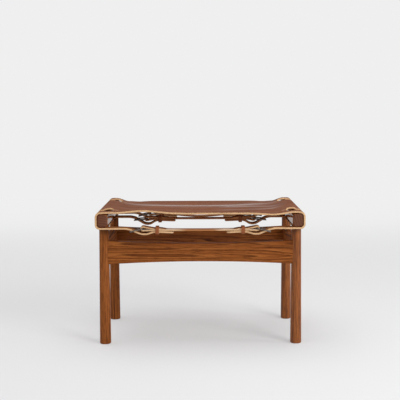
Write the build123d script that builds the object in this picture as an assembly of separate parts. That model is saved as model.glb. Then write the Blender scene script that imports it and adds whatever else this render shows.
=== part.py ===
"""A leather sling footstool: a low oak frame with one thick hide buckled round its two rails.

Sizes are in millimetres, +Z is up, +X is the user's right and -Y is the front.
The origin lies on the floor under the middle of the stool.

Four turned legs carry two long side rails, and four aprons tie the legs together.
One saddle hide is the seat. It lies over both rails and turns round them. Each end of it is
slotted for the legs and ends in three tongues of hide. Under the seat a separate strap joins
each left tongue to its right one through two buckles, so the hide can be pulled tight again
when it stretches.
"""
from math import acos, asin, atan2, cos, degrees, hypot, pi, sin, tan
import os

from build123d import *

# Frame of the stool
leg_spacing_x = 560.0        # between leg axes, left to right
leg_inset = 56.5             # from a leg's axis to the end of its rail
leg_height = 349.0           # floor to the underside of a rail
leg_top_diameter = 28.0
leg_foot_diameter = 33.0
foot_arris = 3.5             # eased edge of the foot, turned in two flats
foot_shoulder_share = 0.3    # where those flats meet, from the corner
rail_length = 440.0
rail_width = 31.0
rail_height = 39.0
rail_corner = 9.0            # radius of its four long edges
rail_arris = 2.5             # eased edge of its end faces
peg_diameter = 18.0          # round tenon on top of a leg
peg_length = 24.0
glue_gap = 0.1

# Aprons between the legs
apron_thickness = 20.0
apron_drop = 43.5            # from a rail down to the apron's top, at the legs
apron_height = 70.0          # at the legs
apron_arch = 8.7             # rise of the lower edge in the middle
apron_dip = 8.6              # fall of the upper edge in the middle
apron_arris = 1.5            # eased long edges
tenon_thickness = 8.0
tenon_inset = 12.0           # shoulder above and below a tenon
tenon_clear = 5.5            # from the leg's axis to the tip of a tenon

# Hide of the seat
hide = 5.0                   # thickness of the saddle leather
hide_gap = 0.3               # slack between the hide and the wood
slot_clear = 4.0             # room beside a leg in its slot
slot_past = 13.5             # a slot starts this far inside the rail's inner edge
slot_corner = 6.0
seat_clear = 0.5             # the flat over a rail starts this far inside that edge
seat_sag = 7.5               # fall of the seat in the middle
rear_sag = 11.0              # fall of its rear edge
front_wave = 6.0             # the front edge stands this high on the left, this low on the right
panel_past = 2.5             # the middle panel's cut end lies this far inside it, below the rail
root_radius = 11.0           # inner corner between that end and the middle tongue of hide

# Under-straps, with each run measured inwards from the end of the one before
strap_width = 32.0
strap_hide = 4.0             # thickness of the joining straps
middle_rise = 10.0           # the middle strap runs this much higher than the outer ones
turn_radius = 4.0            # where the middle tongue of hide leaves the rail
root_run = 14.5              # from the rail's inner edge to the taper of an outer tongue
taper_run = 24.0
level_run = 12.0             # from the taper to where the hide falls towards the buckle
bar_run = 14.0               # from there to the buckle's outer bar
frame_run = 35.0             # between the buckle's bars, seen from above
belly_lead = 4.0             # the hide's loop is lowest from this far outside the heel bar
belly_run = 13.0             # to this far inside it
keeper_run = 29.0            # from there to the middle of the keeper
tail_run = 47.0              # from the keeper to the end of the tongue of hide
lap_run = 15.0               # from the keeper's straight stretch to the fold's skived end
bar_fall = 3.0               # underside of the hide above the outer bar, below the rail's wrap
outer_belly_fall = 16.0      # underside of the loop under a buckle of the outer rows
middle_belly_fall = 21.5
outer_heel_rise = 1.8        # middle of a heel bar, over the level of the rail's wrap
middle_heel_rise = -3.0      # the middle buckles hang lower in their row
stack_fall = 10.0            # underside of the hide inside a keeper
tail_fall = 11.5
stack_half = 11.0            # half the straight stretch through a keeper
tail_corner = 9.0
path_radius = 9.0            # bends of the hide under a buckle
fold_radius = 3.4            # inside of a joining strap's fold round the heel bar
lap_tip = 1.0                # thickness of the skived end

# Buckles, their tongues and the keepers
wire_radius = 2.0
wire_sides = 8               # the wire and the tongues are drawn with flats
frame_side_gap = 1.8
running_gap = 0.3
bar_gap = 0.6                # outer bar under the bend of the hide
tongue_radius = 1.5
tongue_ring = 1.6            # wall of the tongue's eye
tongue_width = 5.0
tongue_past = 4.5            # its tip passes the outer bar by this
tongue_slot_gap = 0.6
hole_past_heel = 10.0        # oblong hole for the tongue in the hide, from the heel bar
hole_past_bar = 2.0          # and from the outer bar
hole_width = 5.0
hole_corner = 1.5            # its ends are punched with cut corners
keeper_length = 10.0
keeper_wall = 2.0
keeper_side_gap = 0.5
overrun = 5.0                # of every cut

# Places worked out from those sizes
leg_spacing_y = rail_length - 2 * leg_inset
leg_x = leg_spacing_x / 2
leg_y = leg_spacing_y / 2
rail_edge_x = leg_x - rail_width / 2         # inner edge of the right rail
apron_bottom = leg_height - apron_drop - apron_height
rail_top = leg_height + rail_height
rail_middle = leg_height + rail_height / 2
wrap = hide_gap + hide
seat_top = rail_top + wrap
under = leg_height - wrap                    # underside of the hide below a rail
slot_width = leg_top_diameter + 2 * slot_clear
slot_end_x = rail_edge_x - slot_past
seat_end_x = rail_edge_x - seat_clear
panel_end_x = rail_edge_x - panel_past
outer_strap_y = leg_y + slot_width / 2       # inner edge of the outer tongues of hide
strap_y = (outer_strap_y + rail_length / 2) / 2
taper_start_x = rail_edge_x - root_run
taper_end_x = taper_start_x - taper_run
bend_x = taper_end_x - level_run             # the hide starts to fall towards the buckle
bar_x = bend_x - bar_run
heel_x = bar_x - frame_run
belly_end_x = heel_x - belly_run
keeper_x = belly_end_x - keeper_run
tail_x = keeper_x - tail_run
lap_x = keeper_x - stack_half - lap_run
hole_start_x = heel_x + hole_past_heel
hole_end_x = bar_x - hole_past_bar
bar_drop = bar_gap + wire_radius
frame_corner = frame_side_gap + wire_radius - 2 * running_gap
SIDES = {"left": -1, "right": 1}
ROWS = {
    "front": (-strap_y, 0.0, outer_belly_fall, outer_heel_rise),
    "middle": (0.0, middle_rise, middle_belly_fall, middle_heel_rise),
    "rear": (strap_y, 0.0, outer_belly_fall, outer_heel_rise),
}


def beside(points, radii, distance):
    """Path on the right of another one, at one distance, with its bends about the same centres."""
    runs = [(bx - ax, bz - az) for (ax, az), (bx, bz) in zip(points, points[1:])]
    ways = [(dx / hypot(dx, dz), dz / hypot(dx, dz)) for dx, dz in runs]
    normals = [(dz, -dx) for dx, dz in ways]
    normals = [normals[0]] + normals + [normals[-1]]
    moved = []
    for (x, z), (ax, az), (bx, bz) in zip(points, normals, normals[1:]):
        stretch = distance / (1 + ax * bx + az * bz)
        moved.append((x + stretch * (ax + bx), z + stretch * (az + bz)))
    turns = [ax * bz - az * bx for (ax, az), (bx, bz) in zip(ways, ways[1:])]
    growth = [distance if turn > 0 else -distance for turn in turns]
    return moved, [radius + more for radius, more in zip(radii, growth)]


def band(points, radii, thickness):
    """Closed face of one thickness on the right of a path of straight runs and arcs, in XZ."""
    outside = FilletPolyline(*points, radius=radii)
    moved, bends = beside(points, radii, thickness)
    inside = FilletPolyline(*moved, radius=bends)
    ends = [Line(points[0], moved[0]), Line(points[-1], moved[-1])]
    return Plane.XZ * make_face([*outside.edges(), *inside.edges(), *ends])


def across(face, width):
    """Solid of a face in the XZ plane, half of the width to each side of it."""
    return extrude(face, amount=width / 2, both=True)


def mirrored(shape, side):
    """The right-hand shape as it stands on a side."""
    return shape if side > 0 else mirror(shape, Plane.YZ)


def standing(radius, height):
    """Cylinder that stands on its own origin."""
    return Cylinder(radius, height, align=(Align.CENTER, Align.CENTER, Align.MIN))


def rail_solid():
    """Rail with rounded long edges and softened ends, about its own middle."""
    section = Plane.XZ * RectangleRounded(rail_width, rail_height, rail_corner)
    rail = extrude(section, amount=rail_length / 2, both=True)
    ends = rail.faces().filter_by(Axis.Y).edges()
    return chamfer(ends, rail_arris)


def rail(side):
    """Rail in its place, with a round mortise for each leg."""
    body = Pos(side * leg_x, 0, rail_middle) * rail_solid()
    hole = standing(peg_diameter / 2 + glue_gap, overrun + peg_length + glue_gap)
    for row in (-1, 1):
        body -= Pos(side * leg_x, row * leg_y, leg_height - overrun) * hole
    return body


def leg_radius(z):
    """Radius of the tapered leg at a height."""
    return (leg_foot_diameter + (leg_top_diameter - leg_foot_diameter) * z / leg_height) / 2


def leg_blank():
    """Turned leg without its peg, before it is shaped to the rail and mortised."""
    head, top = leg_top_diameter / 2, leg_height + rail_corner
    foot = leg_radius(foot_arris)
    corner = foot_arris * foot_shoulder_share
    outline = Polyline(
        (0, 0),
        (foot - foot_arris, 0),
        (foot - corner, corner),
        (foot, foot_arris),
        (head, leg_height),
        (head, top),
        (0, top),
        close=True,
    )
    return revolve(Plane.XZ * make_face(outline), Axis.Z)


def apron_blank(spacing, arch, dip):
    """Apron between two legs that stand along X, before it is fitted to them."""
    half = spacing / 2
    low, high = apron_bottom, apron_bottom + apron_height
    lower = ThreePointArc((-half, low), (0, low + arch), (half, low))
    upper = ThreePointArc((half, high), (0, high - dip), (-half, high))
    outline = lower + Line((half, low), (half, high)) + upper + Line((-half, high), (-half, low))
    board = across(make_face(Plane.XZ * outline), apron_thickness)
    long_edges = board.edges().filter_by(GeomType.CIRCLE)
    return chamfer(long_edges, apron_arris)


def apron(spacing, arch, dip):
    """Apron with shoulders hollowed to the legs and a stub tenon at each end."""
    half = spacing / 2
    clear = apron_thickness / 2 + glue_gap
    reach = Box(spacing - 2 * clear, apron_thickness, leg_height)
    board = apron_blank(spacing, arch, dip) & Pos(0, 0, leg_height / 2) * reach
    for end in (-1, 1):
        board -= Pos(end * half, 0, 0) * leg_blank()
    tenons = Box(spacing - 2 * tenon_clear, tenon_thickness, apron_height - 2 * tenon_inset)
    return board + Pos(0, 0, apron_bottom + apron_height / 2) * tenons


def tenon_holes(spacing):
    """What the tenons of one apron take out of its two legs, with room for the glue."""
    length = spacing - 2 * tenon_clear + 2 * glue_gap
    height = apron_height - 2 * tenon_inset + 2 * glue_gap
    block = Box(length, tenon_thickness + 2 * glue_gap, height)
    return Pos(0, 0, apron_bottom + apron_height / 2) * block


def leg(row):
    """Right leg shaped to the rail that it carries, with its peg and mortises."""
    body = Pos(leg_x, row * leg_y, 0) * Rot(0, 0, 180) * leg_blank()
    body -= Pos(leg_x, 0, rail_middle) * rail_solid()
    body = max(body.solids(), key=lambda solid: solid.volume)
    peg = standing(peg_diameter / 2, rail_corner + peg_length)
    body += Pos(leg_x, row * leg_y, leg_height - rail_corner) * peg
    body -= Pos(0, row * leg_y, 0) * tenon_holes(leg_spacing_x)
    body -= Pos(leg_x, 0, 0) * Rot(0, 0, 90) * tenon_holes(leg_spacing_y)
    return body


def wave(share):
    """Rise of the front edge over the seat's level, from -1 at the left rail to 1 at the right."""
    return -front_wave * sin(pi * share)


def hang(share):
    """How much of the full sag the seat has, from none at the rails to all in the middle."""
    return 1 - abs(share) ** 4


def seat_section(share):
    """Cut through the seat from front to back, at a share of the way from its middle."""
    front, back = -rail_length / 2, rail_length / 2
    heights = (
        wave(share),
        wave(share) / 3 - seat_sag * hang(share),
        -rear_sag * hang(share),
    )
    rows = (front, 0, back)
    top = [(y, seat_top + z) for y, z in zip(rows, heights)]
    low = [(y, z - hide) for y, z in top]
    outline = Spline(*top) + Line(top[-1], low[-1]) + Spline(*reversed(low)) + Line(low[0], top[0])
    return Plane.YZ.offset(share * seat_end_x) * make_face(outline)


def seat_panel():
    """Seat between the two rails, with its sag and the wave of its front edge."""
    stop_shares = (-1, -0.84, -0.62, -0.3, 0, 0.3, 0.62, 0.84, 1)
    return loft([seat_section(share) for share in stop_shares])


def round_rail():
    """Path of the hide's outside from the seat over and round the right rail."""
    reach = leg_x + rail_width / 2 + wrap
    return [(seat_end_x, seat_top), (reach, seat_top), (reach, under)], [rail_corner + wrap] * 2


def under_buckle(row):
    """Path of the hide's underside from the buckle's outer bar to the end of its tail."""
    _, rise, belly_fall, _ = ROWS[row]
    level = under + rise
    return [
        (bend_x, level),
        (bar_x, level - bar_fall),
        (heel_x + belly_lead, level - belly_fall),
        (belly_end_x, level - belly_fall),
        (keeper_x + stack_half, level - stack_fall),
        (keeper_x - stack_half, level - stack_fall),
        (tail_x, level - tail_fall),
    ]


def turn_off_rail(rise):
    """Two corners where the middle tongue of hide climbs the rail's inner edge and leaves it."""
    radius = rail_corner + wrap
    turn = acos(1 - rise / (radius + turn_radius))
    start = leg_x - rail_width / 2 + rail_corner - radius * tan(turn / 2)
    run = (radius + turn_radius) * tan(turn / 2)
    return [(start, under), (start - run * cos(turn), under + rise)], [radius, turn_radius]


def hide_end(row):
    """Band of hide from the seat round the right rail and through the buckle."""
    rise = ROWS[row][1]
    points, radii = round_rail()
    if rise > 0:
        corners, bends = turn_off_rail(rise)
        points, radii = points + corners, radii + bends
    tail = under_buckle(row)
    points = points + tail
    radii = radii + [path_radius] * (len(tail) - 1)
    return band(points, radii, hide)


def outer_plan(root_half):
    """Outline of an outer tongue of hide seen from above, from outside the rail to its tail."""
    reach = leg_x + rail_width / 2 + wrap + overrun
    half = strap_width / 2
    rear = [(reach, root_half), (taper_start_x, root_half), (taper_end_x, half), (tail_x, half)]
    outline = Polyline(*rear, *[(x, -y) for x, y in reversed(rear)], close=True)
    face = make_face(outline)
    tips = face.vertices().sort_by(Axis.X)[:2]
    return fillet(tips, tail_corner)


def middle_plan():
    """Outline of the middle panel's end and its tongue of hide, seen from above."""
    reach = leg_x + rail_width / 2 + wrap + overrun
    half = strap_width / 2
    panel = 2 * (leg_y - slot_width / 2)
    wide = Pos((reach + panel_end_x) / 2, 0) * Rectangle(reach - panel_end_x, panel)
    narrow = Pos((reach + tail_x) / 2, 0) * Rectangle(reach - tail_x, 2 * half)
    face = wide + narrow
    roots = face.vertices().filter_by_position(Axis.X, panel_end_x - glue_gap, panel_end_x + glue_gap)
    roots = roots.filter_by_position(Axis.Y, -half - glue_gap, half + glue_gap)
    face = fillet(roots, root_radius)
    tips = face.vertices().sort_by(Axis.X)[:2]
    return fillet(tips, tail_corner)


def tongue_of_hide(row):
    """One of the three ends of the hide on the right rail, in its place."""
    width = 2 * (leg_y - slot_width / 2) if row == "middle" else rail_length / 2 - outer_strap_y
    body = across(hide_end(row), width)
    plan = middle_plan() if row == "middle" else outer_plan(width / 2)
    body = body & extrude(plan, amount=seat_top + overrun)
    return Pos(0, ROWS[row][0], 0) * (body - punched_hole(row))


def punched_hole(row):
    """Oblong hole for the buckle's tongue."""
    _, rise, belly_fall, _ = ROWS[row]
    plan = Rectangle(hole_end_x - hole_start_x, hole_width)
    plan = chamfer(plan.vertices(), hole_corner)
    punch = extrude(plan, amount=belly_fall + hide + overrun)
    return Pos((hole_start_x + hole_end_x) / 2, 0, under + rise - belly_fall) * punch


def leg_slots():
    """Slots that part the three tongues of hide on the right, over the rail and the legs."""
    reach = leg_x + rail_width / 2 + wrap + overrun
    plan = Rectangle(reach - slot_end_x, slot_width)
    inner = plan.vertices().sort_by(Axis.X)[:2]
    plan = fillet(inner, slot_corner)
    cut = extrude(plan, amount=seat_top + overrun)
    cuts = Part()
    for row in (-1, 1):
        cuts += Pos((reach + slot_end_x) / 2, row * leg_y, 0) * cut
    return cuts


def seat_sling():
    """The whole hide as one piece."""
    ends = [tongue_of_hide(row) for row in ROWS]
    body = seat_panel()
    for side in SIDES.values():
        for end in ends:
            body += mirrored(end, side)
    for side in SIDES.values():
        body -= mirrored(leg_slots(), side)
    return body


def heel_level(row):
    """Height of a heel bar, before its row's rise."""
    return under + ROWS[row][3]


def touching(start, centre, radius, side):
    """Where a line from a start touches a circle: above it for side 1, below it for side -1."""
    run, rise = centre[0] - start[0], centre[1] - start[1]
    lean = atan2(rise, run) + side * asin(radius / hypot(run, rise))
    return centre[0] - side * radius * sin(lean), centre[1] + side * radius * cos(lean)


def joining_profile(row):
    """Right half of a joining strap: it runs level, folds round the heel bar and laps over itself."""
    base = under - stack_fall + hide + running_gap
    middle, top = base + strap_hide, base + 2 * strap_hide
    near, far = keeper_x - stack_half, keeper_x + stack_half
    fold = (heel_x + wire_radius + running_gap - fold_radius, heel_level(row))
    reach = fold_radius + strap_hide
    outline = Polyline(
        (0, base),
        (far, base),
        touching((far, base), fold, reach, -1),
        touching((far, top), fold, reach, 1),
        (far, top),
        (near, top),
        (lap_x, middle + lap_tip),
        (lap_x, middle),
        (0, middle),
        close=True,
    )
    low, high = (far, middle - glue_gap), (far, middle + glue_gap)
    opening = Polyline(
        low,
        touching(low, fold, fold_radius, -1),
        touching(high, fold, fold_radius, 1),
        high,
        close=True,
    )
    outer = make_face(outline) + Pos(*fold) * Circle(reach)
    inner = make_face(opening) + Pos(*fold) * Circle(fold_radius)
    return Plane.XZ * (outer - inner)


def joining_strap(row):
    """Strap between the left and right buckles of one row."""
    y, rise = ROWS[row][:2]
    half = across(joining_profile(row), strap_width)
    reach = fold_radius + strap_hide
    slot = Box(3 * reach, tongue_width + 2 * tongue_slot_gap, 3 * reach)
    half -= Pos(heel_x + reach / 2, 0, heel_level(row)) * slot
    whole = half + mirror(half, Plane.YZ)
    return Pos(0, y, rise) * whole


def outer_bar_drop(row):
    """How far the outer bar of a buckle hangs below its heel bar."""
    return heel_level(row) - (under - bar_fall - bar_drop)


def frame_length(row):
    """Distance between the two bars of a buckle."""
    return hypot(outer_bar_drop(row), frame_run)


def at_heel(row, side, shape):
    """A right-hand shape made about the heel bar, put in its row and on its side."""
    y, rise = ROWS[row][:2]
    tilt = degrees(atan2(outer_bar_drop(row), frame_run))
    placed = Pos(heel_x, y, heel_level(row) + rise) * Rot(0, tilt, 0) * shape
    return mirrored(placed, side)


def buckle(row):
    """Wire frame of a buckle, about its heel bar."""
    width = strap_width + 2 * (frame_side_gap + wire_radius)
    loop = Rectangle(frame_length(row), width)
    loop = chamfer(loop.vertices(), frame_corner)
    wire = (Pos(frame_length(row) / 2, 0) * loop).wire()
    section = Plane(wire @ 0, z_dir=wire % 0) * RegularPolygon(wire_radius, wire_sides)
    return sweep(section, path=wire, transition=Transition.RIGHT)


def flat_sided(radius):
    """Polygon whose flats lie at a radius."""
    return RegularPolygon(radius, wire_sides, major_radius=False)


def tongue(row):
    """Tongue of a buckle: an eye round the heel bar and a prong under the outer bar."""
    inner = wire_radius + running_gap
    outer = inner + tongue_ring
    eye = across(Plane.XZ * (flat_sided(outer) - flat_sided(inner)), tongue_width)
    start = (0, 0, -(inner + outer) / 2)
    end = (frame_length(row) + tongue_past, 0, -(inner + tongue_radius))
    way = Line(start, end)
    prong = sweep(Plane(start, z_dir=way % 0) * flat_sided(tongue_radius), path=way)
    bore = across(Plane.XZ * flat_sided(inner), tongue_width + 2 * overrun)
    return eye + (prong - bore)


def keeper(row, side):
    """Loop of thin hide that holds the tail and both layers of the joining strap together."""
    y, rise = ROWS[row][:2]
    stack = hide + 2 * strap_hide + running_gap
    inner_height = stack + 2 * running_gap
    inner_width = strap_width + 2 * keeper_side_gap
    ring = Rectangle(inner_width + 2 * keeper_wall, inner_height + 2 * keeper_wall)
    ring = chamfer(ring.vertices(), keeper_wall) - Rectangle(inner_width, inner_height)
    body = extrude(Plane.YZ * ring, amount=keeper_length / 2, both=True)
    middle = under + rise - stack_fall + stack / 2
    return mirrored(Pos(keeper_x, y, middle) * body, side)


def build():
    """Every piece of the stool by name."""
    pieces = {}
    for side_name, side in SIDES.items():
        pieces["rail_" + side_name] = rail(side)
        pieces["leg_front_" + side_name] = mirrored(leg(-1), side)
        pieces["leg_rear_" + side_name] = mirrored(leg(1), side)
        side_apron = Rot(0, 0, 90) * apron(leg_spacing_y, apron_arch / 3, apron_dip / 3)
        pieces["apron_" + side_name] = Pos(side * leg_x, 0, 0) * side_apron
    for row, place in (("front", -leg_y), ("rear", leg_y)):
        pieces["apron_" + row] = Pos(0, place, 0) * apron(leg_spacing_x, apron_arch, apron_dip)
    pieces["seat_sling"] = seat_sling()
    for row in ROWS:
        pieces["strap_" + row] = joining_strap(row)
        for side_name, side in SIDES.items():
            tag = row + "_" + side_name
            pieces["buckle_" + tag] = at_heel(row, side, buckle(row))
            pieces["tongue_" + tag] = at_heel(row, side, tongue(row))
            pieces["keeper_" + tag] = keeper(row, side)
    return pieces


os.makedirs("parts", exist_ok=True)
for name, piece in build().items():
    piece.label = name
    export_step(piece, "parts/" + name + ".step")
    print(name, round(piece.volume), len(piece.solids()))
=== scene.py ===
# %% [markdown]
# # A footstool with a leather sling seat
#
# The stool is a low frame of brown-stained oak. One thick saddle hide is its seat: it wraps round
# both side rails, is slotted for the legs, and each end is cut into three tongues that are pulled
# tight underneath by joining straps and buckles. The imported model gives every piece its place, and
# this script gives each one its finished surface. Sizes below are in millimetres, as a workshop
# writes them, and become metres when a mesh is made.

import bmesh
import bpy
import numpy as np
from mathutils import Matrix, Vector


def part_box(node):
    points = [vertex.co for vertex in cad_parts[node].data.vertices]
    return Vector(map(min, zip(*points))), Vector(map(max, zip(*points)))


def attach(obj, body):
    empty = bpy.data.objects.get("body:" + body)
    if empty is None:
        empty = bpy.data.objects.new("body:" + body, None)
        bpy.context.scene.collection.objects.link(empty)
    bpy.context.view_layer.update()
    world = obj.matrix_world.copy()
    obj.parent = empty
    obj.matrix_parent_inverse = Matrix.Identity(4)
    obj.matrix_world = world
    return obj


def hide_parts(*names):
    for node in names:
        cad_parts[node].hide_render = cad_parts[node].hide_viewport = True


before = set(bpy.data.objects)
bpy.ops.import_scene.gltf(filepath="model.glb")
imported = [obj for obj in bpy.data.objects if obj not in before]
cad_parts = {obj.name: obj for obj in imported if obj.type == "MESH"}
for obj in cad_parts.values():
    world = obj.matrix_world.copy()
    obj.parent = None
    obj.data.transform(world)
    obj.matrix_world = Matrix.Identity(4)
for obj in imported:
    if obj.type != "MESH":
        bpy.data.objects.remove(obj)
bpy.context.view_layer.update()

MM = 0.001
SIDES = {"left": -1, "right": 1}
ROWS = ("front", "middle", "rear")


# %% Read the places that the frame gives
def box_mm(node):
    """Lowest and highest corner of a node, in millimetres."""
    low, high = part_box(node)
    return np.array(low) / MM, np.array(high) / MM


rail_low, rail_high = box_mm("rail_right")
leg_low, leg_high = box_mm("leg_front_right")
rail_x = (rail_low[0] + rail_high[0]) / 2
rail_width = rail_high[0] - rail_low[0]
rail_length = rail_high[1] - rail_low[1]
leg_y = -(leg_low[1] + leg_high[1]) / 2
rail_edge_x, rail_bottom, rail_top = rail_low[0], rail_low[2], rail_high[2]
print("rail", round(rail_width, 1), "x", round(rail_top - rail_bottom, 1), "mm,",
      "leg axis at", round(rail_x, 1), round(leg_y, 1))

# %% [markdown]
# ## Meshes from formulas
#
# Every new piece is a surface worked out as whole arrays: points on a grid of two parameters, or a
# profile carried along a path. One helper turns such a grid into faces, and another puts points and
# faces into a Blender mesh. The object stays at the origin, so its place is in its points, which
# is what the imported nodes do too.


# %% Grid faces and the mesh helper
def grid_faces(rows, columns, keep=None):
    """Quads between neighbouring points of a rows by columns grid, where keep allows them."""
    i, j = np.meshgrid(np.arange(rows - 1), np.arange(columns - 1), indexing="ij")
    corner = i * columns + j
    quads = np.stack([corner, corner + columns, corner + columns + 1, corner + 1], axis=-1)
    return quads[keep] if keep is not None else quads.reshape(-1, 4)


def put_mesh(name, points, faces, closed=False):
    """Make an object from points in millimetres and faces, welded where patches meet. Every face
    of a closed mesh is turned outwards."""
    mesh = bpy.data.meshes.new(name)
    mesh.from_pydata((np.asarray(points) * MM).tolist(), [], [list(map(int, f)) for f in faces])
    piece = bpy.data.objects.new(name, mesh)
    bpy.context.scene.collection.objects.link(piece)
    work = bmesh.new()
    work.from_mesh(mesh)
    bmesh.ops.remove_doubles(work, verts=work.verts, dist=0.02 * MM)
    if closed:
        bmesh.ops.recalc_face_normals(work, faces=work.faces)
    work.to_mesh(mesh)
    work.free()
    mesh.polygons.foreach_set("use_smooth", np.full(len(mesh.polygons), True))
    return piece


def closed_tube(name, rings, capped=True):
    """Skin over rings of points, shape (rings, around, 3), closed round each ring and capped."""
    count, around = rings.shape[:2]
    looped = np.concatenate([rings, rings[:, :1]], axis=1)
    faces = [tuple(f) for f in grid_faces(count, around + 1)]
    if capped:
        last = (count - 1) * (around + 1)
        faces += [tuple(range(around)), tuple(range(last + around - 1, last - 1, -1))]
    return put_mesh(name, looped.reshape(-1, 3), faces, closed=True)


def give(piece, *materials):
    """Put materials on a piece, in their order."""
    piece.data.materials.clear()
    for material in materials:
        piece.data.materials.append(material)


# %% Paths with rounded corners
def rounded_path(corners, radii, gap=1.0):
    """Straight runs joined by arcs: at a corner with turn a, an arc of radius r whose ends lie
    r * tan(a / 2) from it, sampled about every gap along the arc."""
    corners = np.asarray(corners, float)
    pieces = [corners[:1]]
    for before, corner, after, radius in zip(corners, corners[1:], corners[2:], radii):
        into, out = corner - before, after - corner
        into, out = into / np.linalg.norm(into), out / np.linalg.norm(out)
        turn = np.arctan2(into[0] * out[1] - into[1] * out[0], into @ out)
        reach = radius * np.tan(abs(turn) / 2)
        normal = np.sign(turn) * np.array([-into[1], into[0]])
        centre = corner - into * reach + normal * radius
        angles = np.linspace(0, turn, max(3, int(abs(turn) * radius / gap) + 2))
        spoke = -normal * radius
        arc = np.stack([
            centre[0] + spoke[0] * np.cos(angles) - spoke[1] * np.sin(angles),
            centre[1] + spoke[0] * np.sin(angles) + spoke[1] * np.cos(angles),
        ], axis=1)
        pieces.append(arc)
    pieces.append(corners[-1:])
    return np.concatenate(pieces)


def lengths_along(path):
    """Distance of each point of a path from its start."""
    steps = np.linalg.norm(np.diff(path, axis=0), axis=1)
    return np.concatenate([[0], np.cumsum(steps)])


def along(path, places):
    """Points at given distances along a path."""
    measured = lengths_along(path)
    return np.stack([np.interp(places, measured, path[:, k]) for k in range(path.shape[1])], axis=1)


def stations(keys, gap):
    """Places about one gap apart that hit every key place."""
    runs = [np.linspace(a, b, max(1, round((b - a) / gap)), endpoint=False)
            for a, b in zip(keys, keys[1:])]
    return np.concatenate(runs + [[keys[-1]]])


def eased(share):
    """Smooth step from 0 to 1: 3 s^2 - 2 s^3, with s kept between 0 and 1."""
    s = np.clip(share, 0, 1)
    return s * s * (3 - 2 * s)


def bump_at(x, place, spread):
    """Gaussian bump: exp(-((x - place) / spread)^2)."""
    return np.exp(-(((x - place) / spread) ** 2))


# %% [markdown]
# ## The camera and the studio
#
# The photograph was taken level with the middle of the stool, from a long way off with a long lens,
# looking slightly down. Fitting the outlines of legs, rails and feet gave the camera's place. The
# studio is a pale floor that curves up into a pale wall, with a soft key lamp at the front right,
# a broad one overhead, two weak ones at the sides and a soft even light from everywhere.

# %% Camera fitted to the photograph
picture_width = 400
focal_pixels = 952.0
sensor_width = 36.0
camera_place = (-0.0002, -2.9151, 0.693)
camera_pitch = 0.0979
camera_roll = -0.0041
lens = bpy.data.cameras.new("photo_camera")
lens.sensor_width = sensor_width
lens.lens = focal_pixels / picture_width * sensor_width
camera = bpy.data.objects.new("photo_camera", lens)
bpy.context.scene.collection.objects.link(camera)
tip = Matrix.Rotation(np.pi / 2 - camera_pitch, 4, "X") @ Matrix.Rotation(camera_roll, 4, "Z")
camera.matrix_world = Matrix.Translation(camera_place) @ tip
bpy.context.scene.camera = camera
print("lens", round(lens.lens, 1), "mm")


# %% Node helpers for every material
WHITE, BLACK = (1, 1, 1, 1), (0, 0, 0, 1)


def linear(red, green, blue):
    """Colour written as sRGB 0 to 255, as the linear colour that shaders use."""
    srgb = np.array([red, green, blue]) / 255
    value = np.where(srgb <= 0.04045, srgb / 12.92, ((srgb + 0.055) / 1.055) ** 2.4)
    return (*[float(v) for v in value], 1.0)


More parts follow.
